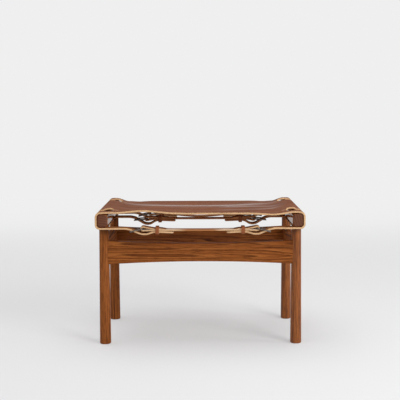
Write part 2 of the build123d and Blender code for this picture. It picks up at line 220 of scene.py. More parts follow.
class Recipe:
    """Nodes of one material or world, with a method for each step that the recipes share."""

    def __init__(self, owner):
        owner.use_nodes = True
        self.owner = owner
        self.nodes, self.links = owner.node_tree.nodes, owner.node_tree.links

    def feed(self, socket, value):
        """Fill an input: by a link if the value is another node's output, else directly."""
        if isinstance(value, bpy.types.NodeSocket):
            self.links.new(value, socket)
        else:
            socket.default_value = value

    def node(self, kind, inputs):
        """New node of a kind, its inputs filled by name."""
        made = self.nodes.new(kind)
        for name, value in inputs.items():
            self.feed(made.inputs[name], value)
        return made

    def shade(self, inputs, shader="Principled BSDF"):
        """Fill the shader's inputs by name and hand back the material or world."""
        for name, value in inputs.items():
            self.feed(self.nodes[shader].inputs[name], value)
        return self.owner

    def mapped(self, scale=(1, 1, 1), shift=(0, 0, 0)):
        """Object coordinates, stretched by a scale along each axis and moved by a shift."""
        place = self.node("ShaderNodeTexCoord", {}).outputs["Object"]
        inputs = {"Vector": place, "Scale": scale, "Location": shift}
        return self.node("ShaderNodeMapping", inputs).outputs["Vector"]

    def parts(self, vector):
        """The x, y and z of a vector as three values."""
        return self.node("ShaderNodeSeparateXYZ", {"Vector": vector}).outputs

    def noise(self, vector, scale, detail=4.0, rough=0.55, distortion=0.0):
        """Noise texture on a vector."""
        inputs = {"Vector": vector, "Scale": scale, "Detail": detail, "Roughness": rough,
                  "Distortion": distortion}
        return self.node("ShaderNodeTexNoise", inputs).outputs["Fac"]

    def ramp(self, factor, stops):
        """Colour ramp with stops of (place, colour)."""
        made = self.node("ShaderNodeValToRGB", {"Fac": factor})
        bar = made.color_ramp
        bar.elements[0].position, bar.elements[0].color = stops[0]
        bar.elements[1].position, bar.elements[1].color = stops[-1]
        for place, colour in stops[1:-1]:
            bar.elements.new(place).color = colour
        return made.outputs["Color"]

    def spread(self, value, low, high, start=0.0, end=1.0, smooth=False):
        """Map start to end onto low to high, straight or by smooth steps."""
        inputs = {"Value": value, "From Min": start, "From Max": end, "To Min": low, "To Max": high}
        made = self.node("ShaderNodeMapRange", inputs)
        made.interpolation_type = "SMOOTHSTEP" if smooth else "LINEAR"
        return made.outputs["Result"]

    def mixed(self, factor, first, second, kind="MIX"):
        """Mix of two colours by a factor, which is an output or a number."""
        made = self.nodes.new("ShaderNodeMix")
        made.data_type, made.blend_type = "RGBA", kind
        colours = [socket for socket in made.inputs if socket.type == "RGBA"]
        for socket, value in zip([made.inputs["Factor"]] + colours, (factor, first, second)):
            self.feed(socket, value)
        return [socket for socket in made.outputs if socket.type == "RGBA"][0]

    def math(self, kind, first, second=0.0):
        """One sum, product or other plain operation on values."""
        made = self.nodes.new("ShaderNodeMath")
        made.operation = kind
        for socket, value in zip(made.inputs, (first, second)):
            self.feed(socket, value)
        return made.outputs[0]

    def fading(self, value, start, end):
        """1 while the value's size is under start, 0 over end, smooth between."""
        return self.spread(self.math("ABSOLUTE", value), 1.0, 0.0, start, end, smooth=True)

    def bumped(self, height, strength, distance, below=None):
        """Bump from a height, over another bump if one is given."""
        inputs = {"Height": height, "Strength": strength, "Distance": distance}
        if below is not None:
            inputs["Normal"] = below
        return self.node("ShaderNodeBump", inputs).outputs["Normal"]

    def seen(self):
        """1 for the rays of the camera, of mirrors and of clear things, 0 for soft light's."""
        rays = self.node("ShaderNodeLightPath", {}).outputs
        share = rays["Is Camera Ray"]
        for other in ("Is Glossy Ray", "Is Transmission Ray"):
            share = self.math("MAXIMUM", share, rays[other])
        return share


def new_recipe(name):
    """Recipe of a new material."""
    return Recipe(bpy.data.materials.new(name))


# %% Floor that curves up into a wall
CLEAR_FRONT, CLEAR_SIDE = 0.9, 1.3
GLOW_START, GLOW_END, GLOW_LEAST = 0.2, 3.2, 0.42


def studio_paper():
    """Pale paper: it takes the stool's shadow near the stool, and further off it turns by smooth
    steps into an evenly lit wall for the rays of the camera and of mirrors."""
    paper = new_recipe("studio_paper")
    vector = paper.mapped()
    clouds = paper.noise(vector, 0.4, 2.0)
    colour = paper.ramp(clouds, [(0.3, linear(229, 229, 230)), (0.7, linear(232, 232, 233))])
    paper.shade({"Base Color": colour, "Roughness": 0.95, "Specular IOR Level": 0.05})
    place = paper.parts(vector)
    away = place["Y"]
    for axis, clear in (("Y", CLEAR_FRONT), ("X", CLEAR_SIDE)):
        beyond = paper.math("SUBTRACT", paper.math("ABSOLUTE", place[axis]), clear)
        away = paper.math("MAXIMUM", away, beyond)
    outwards = paper.spread(away, GLOW_LEAST, 1.0, GLOW_START, GLOW_END, smooth=True)
    tone = paper.ramp(outwards, [(GLOW_LEAST, linear(231, 231, 232)), (1.0, PALE)])
    glow = paper.node("ShaderNodeEmission", {"Color": tone})
    both = paper.nodes.new("ShaderNodeMixShader")
    share = paper.math("MULTIPLY", paper.seen(), outwards)
    lit = paper.nodes["Principled BSDF"]
    for socket, value in zip(both.inputs, (share, lit.outputs[0], glow.outputs[0])):
        paper.feed(socket, value)
    return paper.shade({"Surface": both.outputs[0]}, "Material Output")


def studio():
    """Sweep from floor to wall: a flat run, a quarter circle and an upright run, along X."""
    half_width, front, bend_start, bend, top = 16000.0, -16000.0, 2600.0, 1800.0, 7000.0
    angles = np.linspace(0, np.pi / 2, 24)
    floor = np.array([[front, 0], [bend_start, 0]])
    curve = np.stack([bend_start + bend * np.sin(angles), bend - bend * np.cos(angles)], axis=1)
    wall = np.array([[bend_start + bend, top]])
    line = np.concatenate([floor, curve[1:], wall])
    across = np.linspace(-half_width, half_width, 3)
    points = np.stack([np.tile(across, len(line)),
                       np.repeat(line[:, 0], len(across)),
                       np.repeat(line[:, 1], len(across))], axis=1)
    sweep = put_mesh("studio_sweep", points, grid_faces(len(line), len(across))[:, ::-1])
    give(sweep, studio_paper())


PALE = linear(239, 239, 239)
studio()


# %% Lamps and air
def soft_lamp(name, place, aim, size, power):
    """Square area lamp at a place in metres, turned to face a point."""
    lamp = bpy.data.lights.new(name, "AREA")
    lamp.shape, lamp.size, lamp.energy = "SQUARE", size, power
    holder = bpy.data.objects.new(name, lamp)
    bpy.context.scene.collection.objects.link(holder)
    holder.location = place
    way = Vector(aim) - Vector(place)
    holder.rotation_euler = way.to_track_quat("-Z", "Y").to_euler()


# place and aim, size in metres, power in watts
LAMPS = {
    "lamp_key": ((2.3, -2.6, 2.0), (0, 0, 0.25), 1.5, 66),
    "lamp_side": ((2.7, -0.6, 1.0), (0, 0, 0.25), 0.6, 15),
    "lamp_top": ((-0.3, 0.2, 3.4), (0, 0, 0.2), 3.0, 54),
    "lamp_fill": ((-2.6, -2.4, 1.2), (0, 0, 0.25), 1.8, 7),
}
for name, settings in LAMPS.items():
    soft_lamp(name, *settings)

AIR_STRENGTH, AIR_SEEN = 0.42, PALE[0]
bpy.context.scene.world = bpy.data.worlds.new("studio_air")
air = Recipe(bpy.context.scene.world)
brightness = air.spread(air.seen(), AIR_STRENGTH, AIR_SEEN)
air.shade({"Color": WHITE, "Strength": brightness}, "Background")
bpy.context.scene.view_settings.view_transform = "Standard"

# %% [markdown]
# ## Oak, stained brown
#
# Oak shows three things at this distance: broad bands of lighter and darker wood, long fine
# streaks, and short dark pores. All of them run along the grain, so each is a noise squeezed flat
# along one axis. The stain is warm, and a satin lacquer gives it a soft gloss. Each board has its
# own material, because its grain runs its own way.


# %% Oak material for one grain direction
OAK_DARK, OAK_DEEP = linear(64, 30, 10), linear(102, 52, 18)
OAK_MID, OAK_LIGHT = linear(140, 77, 31), linear(166, 100, 48)
GROWTH_RINGS, PAINTED_SHADE_DEPTH = 9.0, 0.022
GRAIN_SCALES = ((26.0, 0.8), (260.0, 6.0), (700.0, 36.0))


def oak(name, axis, shift, figured, lacquer=0.2, polish=0.10, painted_shade_from=None):
    """Stained oak whose grain runs along an axis: 0 for X, 1 for Y, 2 for Z. The growth rings are
    the contour lines of a noise stretched along the grain: dark late wood, then a soft rise.
    Above a given height, in metres, the wood is painted darker towards the top: painted shade under
    the rail."""
    wood = new_recipe(name)
    vectors = []
    for across_grain, along_grain in GRAIN_SCALES:
        scale = [across_grain] * 3
        scale[axis] = along_grain
        vectors.append(wood.mapped(scale, (shift, shift * 0.7, shift * 1.3)))
    figure = wood.noise(vectors[0], 1.4, 1.6, 0.4, 0.35)
    streaks = wood.noise(vectors[1], 1.0, 4.0, 0.65, 0.2)
    pits = wood.noise(vectors[2], 1.0, 2.0, 0.5)
    contour = wood.math("FRACT", wood.math("MULTIPLY", figure, GROWTH_RINGS))
    ring = wood.ramp(contour, [(0.0, OAK_DEEP), (0.25, OAK_MID), (0.74, OAK_LIGHT),
                               (0.87, OAK_DARK), (1.0, OAK_DEEP)])
    lines = wood.ramp(streaks, [(0.32, OAK_DARK), (0.48, OAK_MID), (0.68, OAK_LIGHT)])
    pores = wood.ramp(pits, [(0.36, (0.35, 0.32, 0.30, 1)), (0.46, WHITE)])
    colour = wood.mixed(0.7, wood.mixed(figured, lines, ring), pores, "MULTIPLY")
    # painted shade: above the given height the colour darkens upwards, standing in for the shade
    # under the rail
    if painted_shade_from:
        over = wood.math("SUBTRACT", wood.parts(wood.mapped())["Z"], painted_shade_from)
        share = wood.math("DIVIDE", over, PAINTED_SHADE_DEPTH)
        painted_shade = wood.ramp(share, [(0.0, WHITE), (0.7, (0.52, 0.52, 0.52, 1))])
        colour = wood.mixed(1.0, colour, painted_shade, "MULTIPLY")
    normal = wood.bumped(streaks, 0.12, 0.0004, wood.bumped(pits, 0.25, 0.0004))
    return wood.shade({
        "Base Color": colour, "Roughness": wood.spread(streaks, 0.6, 0.75), "Normal": normal,
        "Specular IOR Level": 0.06, "Coat Weight": lacquer, "Coat Roughness": polish,
        "Coat IOR": 1.36})


def end_grain(name):
    """Sawn end of a rail: growth rings as arcs about a far centre, darker than the long faces."""
    wood = new_recipe(name)
    vector = wood.mapped((1, 0, 1), (0.31, 0, -0.20))
    inputs = {"Vector": vector, "Scale": 44.0, "Distortion": 2.6, "Detail": 3.0}
    rings = wood.node("ShaderNodeTexWave", inputs)
    rings.wave_type, rings.rings_direction = "RINGS", "Y"
    specks = wood.noise(vector, 900.0, 3.0, 0.7)
    colours = [(0.1, linear(92, 52, 33)), (0.9, linear(110, 66, 43))]
    colour = wood.ramp(rings.outputs["Fac"], colours)
    mask = wood.ramp(specks, [(0.38, (0.55, 0.5, 0.48, 1)), (0.52, WHITE)])
    return wood.shade({
        "Base Color": wood.mixed(0.8, colour, mask, "MULTIPLY"), "Roughness": 0.5,
        "Specular IOR Level": 0.25, "Normal": wood.bumped(specks, 0.2, 0.0003)})


# %% [markdown]
# ## Rails, legs and aprons
#
# The aprons are flat boards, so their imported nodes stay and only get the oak. A rail has softly
# rounded ends, and a leg a rounded foot, so both are worked out again as smooth surfaces: the
# rail carries a rounded rectangle along Y that shrinks along a quarter circle at each end, and the
# leg turns a tapering line about its axis.


# %% Aprons keep their packed boards
# the axis of the grain, the shift of its noise and the share of lacquer
APRONS = {"front": (0, 0.0, 0.1), "rear": (0, 3.1, 0.16),
          "left": (1, 5.3, 0.02), "right": (1, 7.9, 0.02)}
for place, (axis, shift, lacquer) in APRONS.items():
    node = "apron_" + place
    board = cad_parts[node]
    give(board, oak("oak_" + node, axis, shift, figured=0.68, lacquer=lacquer))


# %% Rails with rounded ends
RAIL_CORNER, RAIL_END_ROUND, RAIL_SET_BACK = 9.0, 5.5, 1.2
RAIL_SHIFT = {"left": 2.0, "right": 4.4}


def rounded_rectangle(width, height, radius, per_corner=8):
    """Points round a rectangle whose corners are quarter circles, anticlockwise."""
    angles = np.linspace(0, np.pi / 2, per_corner)
    corners = []
    for k, (sx, sz) in enumerate(((1, 1), (-1, 1), (-1, -1), (1, -1))):
        turn = angles + k * np.pi / 2
        corners.append(np.stack([sx * (width / 2 - radius) + radius * np.cos(turn),
                                 sz * (height / 2 - radius) + radius * np.sin(turn)], axis=1))
    return np.concatenate(corners)


def rail(side_name):
    """Rail: section points (x, z) carried along y; near an end each point moves in by
    r - sqrt(r^2 - (r - d)^2), d being the distance from that end."""
    low, high = box_mm("rail_" + side_name)
    low, high = low + [0, RAIL_SET_BACK, 0], high - [0, RAIL_SET_BACK, 0]
    centre = (low + high) / 2
    size = high - low
    ends = RAIL_END_ROUND * (1 - np.cos(np.linspace(0, np.pi / 2, 9)))
    depth = np.concatenate([ends, stations([RAIL_END_ROUND * 2, size[1] / 2], 20.0)])
    depth = np.unique(np.concatenate([depth, size[1] - depth]))
    from_end = np.minimum(depth, size[1] - depth)
    inward = RAIL_END_ROUND - np.clip(from_end, 0, RAIL_END_ROUND)
    shrink = RAIL_END_ROUND - np.sqrt(RAIL_END_ROUND**2 - inward**2)
    rings = []
    for y, less in zip(low[1] + depth, shrink):
        section = rounded_rectangle(size[0] - 2 * less, size[2] - 2 * less, RAIL_CORNER - less)
        rings.append(np.stack([centre[0] + section[:, 0], np.full(len(section), y),
                               centre[2] + section[:, 1]], axis=1))
    piece = closed_tube("rail_wood_" + side_name, np.array(rings))
    give(piece, oak("oak_rail_" + side_name, 1, RAIL_SHIFT[side_name], figured=0.4, lacquer=0.65),
         end_grain("end_grain_" + side_name))
    for polygon in piece.data.polygons:
        if abs(polygon.normal.y) > 0.75:
            polygon.material_index = 1
    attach(piece, "stool")
    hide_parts("rail_" + side_name)


for side_name in SIDES:
    rail(side_name)


# %% Legs turned about their axes
# the last number is how far below the rail, in mm, the legs' painted shade starts
FOOT_ROUND, LEG_HEAD_RADIUS, LEG_IN_RAIL, PAINTED_SHADE_LENGTH = 3.5, 14.0, 7.0, 27
LEG_LACQUER = {"left": 0.2, "right": 0.75}


def leg(row_name, side_name, shift):
    """Leg: radius(z) = foot + (head - foot) z / height, rounded at the foot by a quarter circle."""
    node = f"leg_{row_name}_{side_name}"
    low, high = box_mm(node)
    axis_x, axis_y = (low[:2] + high[:2]) / 2
    foot = (high[0] - low[0]) / 2
    arc = np.linspace(0, np.pi / 2, 7)
    z_foot = FOOT_ROUND * (1 - np.cos(arc))
    r_foot = foot - FOOT_ROUND + FOOT_ROUND * np.sin(arc)
    z_side = stations([FOOT_ROUND, rail_bottom], 12.0)[1:]
    r_side = foot + (LEG_HEAD_RADIUS - foot) * (z_side - FOOT_ROUND) / (rail_bottom - FOOT_ROUND)
    z = np.concatenate([z_foot, z_side, [rail_bottom + LEG_IN_RAIL]])
    radius = np.concatenate([r_foot, r_side, [LEG_HEAD_RADIUS]])
    turn = np.linspace(0, 2 * np.pi, 48, endpoint=False)
    rings = np.stack([axis_x + radius[:, None] * np.cos(turn),
                      axis_y + radius[:, None] * np.sin(turn),
                      np.repeat(z[:, None], len(turn), axis=1)], axis=2)
    piece = closed_tube("leg_wood_" + row_name + "_" + side_name, rings)
    # the top of each leg gets painted shade, for the shade under the rail's overhang
    give(piece, oak("oak_" + node, 2, shift, figured=0.3, lacquer=LEG_LACQUER[side_name],
                    polish=0.34, painted_shade_from=(rail_bottom - PAINTED_SHADE_LENGTH) * MM))
    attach(piece, "stool")
    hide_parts(node)


for number, (row_name, side_name) in enumerate((r, s) for r in ("front", "rear") for s in SIDES):
    leg(row_name, side_name, 1.7 + 2.9 * number)
print("frame of the stool dressed")

# %% [markdown]
# ## The hide
#
# The seat is one cut of leather, 5 mm thick, so it is made as one sheet: patches for the seat, the
# three bands over each rail and the tongues under it, welded where they meet and then given their
# thickness by Solidify. Its cut edges are raw and tan, its outside is the brown grain and its
# inside the duller flesh side, so the sheet carries three materials.

# %% Leather: grain side, flesh side and raw edge
def shine_band(leather, parts, place, bow, width, depth, centre_x, reach_x):
    """Band of polish: depth exp(-((y - place - bow x^2) / width)^2), fading off along x."""
    square = leather.math("MULTIPLY", parts["X"], parts["X"])
    line = leather.math("ADD", leather.math("MULTIPLY", square, bow), place)
    off = leather.math("DIVIDE", leather.math("SUBTRACT", parts["Y"], line), width)
    falling = leather.math("MULTIPLY", leather.math("MULTIPLY", off, off), -1.0)
    band = leather.math("MULTIPLY", leather.math("EXPONENT", falling), depth)
    from_centre = leather.math("SUBTRACT", parts["X"], centre_x)
    return leather.math("MULTIPLY", band, leather.fading(from_centre, reach_x * 0.5, reach_x))


def grain_leather(name, base, dark, painted_highlight_spots=None, shine=()):
    """Waxed saddle leather: mottled brown with long pull streaks along X, fine creases and a soft
    gloss. Painted highlight spots are places (|x|, |y|, reach) in metres where a pale highlight is
    painted into the colour. Shine lists the bands that use has polished, each as shine_band takes
    it."""
    leather = new_recipe(name)
    vector = leather.mapped()
    parts = leather.parts(vector)
    clouds = leather.noise(vector, 9.0, 5.0, 0.6, 0.4)
    pull = leather.noise(leather.mapped((5, 60, 60)), 1.0, 4.0, 0.6, 0.3)
    colour = leather.ramp(clouds, [(0.32, dark), (0.55, base), (0.75, base)])
    colour = leather.mixed(0.55, colour, leather.ramp(pull, [(0.35, dark), (0.6, base)]))
    # painted highlight: pale spots mixed into the colour at the given places
    if painted_highlight_spots:
        squares = []
        for axis, place in zip("XY", painted_highlight_spots):
            away = leather.math("SUBTRACT", leather.math("ABSOLUTE", parts[axis]), place)
            squares.append(leather.math("MULTIPLY", away, away))
        distance = leather.math("SQRT", leather.math("ADD", *squares))
        broken = leather.math("ADD", leather.math("DIVIDE", distance, painted_highlight_spots[2]), clouds)
        mask = leather.ramp(broken, [(0.5, (0.75, 0.75, 0.75, 1)), (1.0, BLACK)])
        colour = leather.mixed(mask, colour, linear(196, 154, 120))
    dullness = leather.spread(clouds, 0.62, 0.72)
    for band in shine:
        polish = shine_band(leather, parts, *band)
        dullness = leather.math("SUBTRACT", dullness, polish)
    pebble = leather.node("ShaderNodeTexVoronoi", {"Vector": vector, "Scale": 900.0})
    normal = leather.bumped(pebble.outputs["Distance"], 0.12, 0.0003)
    return leather.shade({
        "Base Color": colour, "Roughness": dullness, "Specular IOR Level": 0.10,
        "Normal": leather.bumped(pull, 0.15, 0.0012, normal)})


def flesh_leather(name, base, rough=0.8, gloss=0.3, ends=None, by_x=None):
    """Inside of the hide: napped and dull, or pasted smooth where rough is lower. Beyond the
    distances by_x of the middle it turns to the colour ends, a painted reflection, if they are
    given."""
    leather = new_recipe(name)
    vector = leather.mapped()
    fibres = leather.noise(vector, 260.0, 5.0, 0.7, 0.6)
    dark = tuple(0.6 * c for c in base[:3]) + (1.0,)
    colour = leather.ramp(fibres, [(0.3, dark), (0.65, base)])
    # painted reflection: the near-white colour ends stands in for the pale wall mirrored at grazing
    if ends:
        inner = leather.fading(leather.parts(vector)["X"], *by_x)
        colour = leather.mixed(inner, ends, colour)
    return leather.shade({
        "Base Color": colour, "Roughness": rough, "Specular IOR Level": gloss,
        "Normal": leather.bumped(fibres, 0.35, 0.0005)})


def raw_edge(name, light, dark, by_x=None):
    """Cut edge of the hide: pale tan fibres in thin layers, lightly burnished. Painted shade makes
    it browner in the middle row, and it is browner within the distances by_x of the middle if given."""
    leather = new_recipe(name)
    vector = leather.mapped()
    parts = leather.parts(vector)
    fibres = leather.noise(vector, 420.0, 5.0, 0.7, 1.0)
    patches = leather.noise(vector, 24.0, 3.0, 0.5)
    worn = leather.ramp(patches, [(0.3, (0.82, 0.78, 0.74, 1)), (0.6, WHITE)])
    colour = leather.ramp(fibres, [(0.28, dark), (0.6, light)])
    colour = leather.mixed(0.8, colour, worn, "MULTIPLY")
    # painted shade: the middle row's edges, under the seat, are painted browner
    mask = leather.fading(parts["Y"], *EDGE_PAINTED_SHADE_Y)
    if by_x:
        mask = leather.math("MAXIMUM", mask, leather.fading(parts["X"], *by_x))
    return leather.shade({
        "Base Color": leather.mixed(mask, colour, EDGE_BROWN_AND_SHADE), "Roughness": 0.55,
        "Normal": leather.bumped(fibres, 0.25, 0.0004)})


# browner colour of cut edges: painted shade in the middle row, out to these |y| in metres
EDGE_BROWN_AND_SHADE, EDGE_PAINTED_SHADE_Y = linear(170, 108, 56), (0.06, 0.12)
SHINE = [(0.036, 1.8, 0.054, 0.45, 0.0, 0.30), (-0.105, 1.4, 0.026, 0.34, 0.15, 0.12),
         (-0.02, 0.9, 0.016, 0.3, 0.16, 0.12)]
# the hide gets painted highlight spots at the inner ends of the slots
hide_grain = grain_leather("hide_grain", linear(121, 70, 39), linear(92, 46, 22),
                           painted_highlight_spots=(0.244, 0.153, 0.018), shine=SHINE)
hide_flesh = flesh_leather("hide_flesh", linear(176, 114, 58))
hide_edge = raw_edge("hide_edge", linear(222, 182, 136), linear(184, 138, 92))

# %% Sizes of the hide's cut
HIDE = 5.0
SLOT_HALF, SLOT_START_X, SLOT_CORNER = 18.0, 251.0, 6.0
PANEL_END_X, ROOT_RADIUS = 262.0, 11.0
ROW_RISE = {"front": 0.0, "middle": 10.0, "rear": 0.0}
BELLY_FALL = {"front": 16.0, "middle": 21.5, "rear": 16.0}
BAR_FALL, STACK_FALL, TAIL_FALL = 3.0, 10.0, 11.5
TAPER_START_X, TAPER_END_X = 250.0, 226.0
TONGUE_HALF, TAIL_CORNER, TAIL_X = 16.0, 9.0, 76.0
HOLE_X, BAR_X, FALL_X, LEAVE_RADIUS = (175.0, 198.0), 200.0, 214, 4.0
BELLY_X, KEEPER_X, STACK_HALF = (169, 152), 123.0, 11.0
RUN_RADII = [40, 16, 28, 26, 26, 40]
HIDE_OFF = HIDE + 0.3
half_length = rail_length / 2
seat_top, under = rail_top + HIDE_OFF, rail_bottom - HIDE_OFF
reach = rail_x + rail_width / 2 + HIDE_OFF
WRAP_RADIUS = RAIL_CORNER + HIDE_OFF
slot_near, slot_far = leg_y - SLOT_HALF, leg_y + SLOT_HALF


# %% [markdown]
# The seat isn't flat. It sags between the rails, more at the back than at the front, and the front
# edge stands up on the left and dips on the right. Gentle folds run from rail to rail where the
# buckles pull. All of this is one height, a function of x and y, that fades out over the rails.

# %% Height of the seat
def seat_height(x, y):
    """Height over the rails' level: a parabola from front to back through three profiles along x,
    F(x) for the front edge, M(x) for the middle and R(x) for the back edge, plus soft folds:
    F t(t-1)/2 + M (1-t^2) + R t(t+1)/2, with t from -1 at the front to 1 at the back. A slot's
    far lip stands up by a few millimetres, and its near lip is pressed down a little."""
    fall = eased((272 - abs(x)) / 60)
    quick = eased((274 - abs(x)) / 40)
    front = sum(high * bump_at(x, place, wide) for high, place, wide in FRONT_WAVES)
    front -= FRONT_SAG * fall
    middle = -MIDDLE_SAG * fall
    back = sum(high * bump_at(x, place, wide) for high, place, wide in BACK_WAVES)
    back -= BACK_SAG * quick
    t = y / half_length
    body = front * t * (t - 1) / 2 + middle * (1 - t * t) + back * t * (t + 1) / 2
    folds = -FOLD_HEIGHT * np.sin(2 * np.pi * (y - 50 - 45 * (x / 170) ** 2) / 190)
    folds -= 1.0 * np.sin(2 * np.pi * (y + 95) / 120) * bump_at(x, 150, 70) * bump_at(y, -90, 60)
    folds += 0.3 * np.sin(2 * np.pi * y / 63 + 1.1 + x / 170)
    over_slot = np.exp(-(((abs(x) - 265) / 15) ** 4))
    lips = LIP_RISE * (bump_at(y, -slot_near, 10) + 0.5 * bump_at(y, slot_far, 9))
    lips -= LIP_PRESS * (bump_at(y, -slot_far, 8) + bump_at(y, slot_near, 8))
    return body + fall * folds * (1 - t**4) + over_slot * lips


FRONT_WAVES = ((8.0, -165, 64), (-3.4, 205, 36), (2.4, 270, 22), (1.0, -268, 20))
BACK_WAVES = ((-1.6, -198, 22), (-1.6, 205, 22))
FRONT_SAG, MIDDLE_SAG, BACK_SAG = 1.6, 8.0, 10.6
FOLD_HEIGHT, LIP_RISE, LIP_PRESS = 2.0, 4.8, 0.9


# %% Line of the hide round a rail and through a buckle
def hide_line(row):
    """Outside of the hide in the XZ plane, from the slot's start round the right rail to the tail.
    Each fall is how far under the level of its row the line has come at that x."""
    rise, belly = ROW_RISE[row], BELLY_FALL[row]
    level = under + rise
    corners = [(SLOT_START_X, seat_top), (reach, seat_top), (reach, under)]
    radii = [WRAP_RADIUS, WRAP_RADIUS]
    if rise > 0:
        turn = np.arccos(1 - rise / (WRAP_RADIUS + LEAVE_RADIUS))
        start = rail_edge_x + RAIL_CORNER - WRAP_RADIUS * np.tan(turn / 2)
        run = (WRAP_RADIUS + LEAVE_RADIUS) * np.tan(turn / 2)
        corners += [(start, under), (start - run * np.cos(turn), level)]
        radii += [WRAP_RADIUS, LEAVE_RADIUS]
    falls = {FALL_X: 0, BAR_X: BAR_FALL, BELLY_X[0]: belly, BELLY_X[1]: belly,
             KEEPER_X + STACK_HALF: STACK_FALL, KEEPER_X - STACK_HALF: STACK_FALL,
             TAIL_X: TAIL_FALL}
    corners += [(x, level - fall) for x, fall in falls.items()]
    return rounded_path(corners, radii + RUN_RADII)


def under_place(path, x):
    """Distance along the line at which its lower part passes x."""
    measured = lengths_along(path)
    low = path[:, 1] < rail_bottom
    return float(np.interp(-x, -path[low, 0], measured[low]))


def half_width(x, distance_to_tail, root_half):
    """Half the width of a tongue: tapered from its root, its tail rounded by quarter circles."""
    taper = eased((TAPER_START_X - x) / (TAPER_START_X - TAPER_END_X))
    half = root_half + (TONGUE_HALF - root_half) * taper
    inward = np.clip(TAIL_CORNER - distance_to_tail, 0, TAIL_CORNER)
    return half - (TAIL_CORNER - np.sqrt(TAIL_CORNER**2 - inward**2))


# %% Patches of the hide
GAP = 3.6
ACROSS = np.array([0, 0.1, 0.22, 0.33, 0.422, 0.578, 0.67, 0.78, 0.9, 1.0])


def slot_corner(x):
    """How far a slot's edge still has to open at x, along the quarter circle of its corner."""
    inward = np.clip(SLOT_START_X + SLOT_CORNER - x, 0, SLOT_CORNER)
    return SLOT_CORNER - np.sqrt(SLOT_CORNER**2 - inward**2)


def seat_lines():
    """The y of every line along the seat, so that the patches over the rails meet them."""
    band = -half_length + ACROSS * (half_length - slot_far + SLOT_CORNER)
    slot = np.linspace(-slot_far + SLOT_CORNER, -slot_near - SLOT_CORNER, 8)[1:-1]
    half = panel_shares() * (slot_near + SLOT_CORNER)
    return np.concatenate([band, slot, half, -slot[::-1], -band[::-1]])


def panel_shares():
    """Shares of the middle panel's half width, dense where its tongue will leave it."""
    root = (TONGUE_HALF + ROOT_RADIUS) / slot_near
    outer = -1 + (1 - root) * np.linspace(0, 1, 15)[:-1] ** 1.4
    return np.concatenate([outer, root * (2 * ACROSS - 1), -outer[::-1]])


def patch(x, y, z, keep=None):
    """Points and faces of one grid of the hide."""
    points = np.stack([x, y, z], axis=-1)
    return points.reshape(-1, 3), grid_faces(*x.shape, keep=keep)


def on_seat(x, y, z):
    """Lift the part over the seat and the rail's top to the seat's height."""
    return np.where(z > rail_top, z + seat_height(x, y), z)


def seat_patch():
    """The seat between the slots of the two sides."""
    xs = stations([-SLOT_START_X, SLOT_START_X], GAP)
    x, y = np.meshgrid(xs, seat_lines(), indexing="ij")
    return patch(x, y, seat_top + seat_height(x, y))


def outer_band(side, row):
    """Band of the front or rear row, from the slot's start to its tail."""
    path = hide_line(row)
    total = lengths_along(path)[-1]
    keys = [0, SLOT_CORNER, under_place(path, TAPER_START_X), under_place(path, TAPER_END_X),
            under_place(path, HOLE_X[1]), under_place(path, HOLE_X[0]), total - TAIL_CORNER, total]
    places = stations(keys, GAP * 0.7)
    line = along(path, places)
    middle = (half_length + slot_far) / 2
    root = half_length - middle
    half = np.where(places < keys[2], root, half_width(line[:, 0], total - places, root))
    opened = np.where(places < keys[2], slot_corner(line[:, 0]), 0)
    edge_out, edge_in = -middle - half, -middle + half + opened
    y = edge_out[:, None] + (edge_in - edge_out)[:, None] * ACROSS
    x, z = spread_line(line, len(ACROSS))
    keep = holed_between(places, keys[4], keys[5])
    if row == "rear":
        y, x, z, keep = -y[:, ::-1], x[:, ::-1], z[:, ::-1], keep[:, ::-1]
    return mirrored_patch(x, y, on_seat(side * x, y, z), keep, side)


def mirrored_patch(x, y, z, keep, side):
    """A patch made for the right, mirrored to its side with its faces still pointing outwards."""
    if side < 0:
        x, y, z = x[::-1], y[::-1], z[::-1]
        keep = None if keep is None else keep[::-1]
    return patch(side * x, y, z, keep)


def spread_line(line, columns):
    """The x and z of a line in the XZ plane, repeated for every column across it."""
    return np.repeat(line[:, :1], columns, axis=1), np.repeat(line[:, 1:], columns, axis=1)


def holed_between(places, start, end, columns=len(ACROSS)):
    """Which faces to keep when the middle column is left out from start to end."""
    centre = (places[:-1] + places[1:]) / 2
    holed = (centre > start) & (centre < end)
    return ~(holed[:, None] & (np.arange(columns - 1) == (columns - 1) // 2))


def middle_band(side):
    """Middle panel over the rail, up to its cut end below it."""
    path = hide_line("middle")
    end = under_place(path, PANEL_END_X)
    places = stations([0, SLOT_CORNER, end], GAP * 0.8)
    line = along(path, places)
    opened = np.where(places < end / 2, slot_corner(line[:, 0]), 0)
    share = panel_shares()
    y = (slot_near + opened)[:, None] * share
    x, z = spread_line(line, len(share))
    return mirrored_patch(x, y, on_seat(side * x, y, z), None, side)


def middle_tongue(side):
    """Tongue of the middle panel, from its filleted root to its tail."""
    path = hide_line("middle")
    total = lengths_along(path)[-1]
    start = under_place(path, PANEL_END_X)
    keys = [start, start + ROOT_RADIUS, under_place(path, HOLE_X[1]), under_place(path, HOLE_X[0]),
            total - TAIL_CORNER, total]
    places = stations(keys, GAP * 0.7)
    line = along(path, places)
    inward = np.clip(start + ROOT_RADIUS - places, 0, ROOT_RADIUS)
    flare = ROOT_RADIUS - np.sqrt(ROOT_RADIUS**2 - inward**2)
    half = half_width(line[:, 0], total - places, TONGUE_HALF) + flare
    x, z = spread_line(line, len(ACROSS))
    keep = holed_between(places, keys[2], keys[3])
    return mirrored_patch(x, half[:, None] * (2 * ACROSS - 1), z, keep, side)


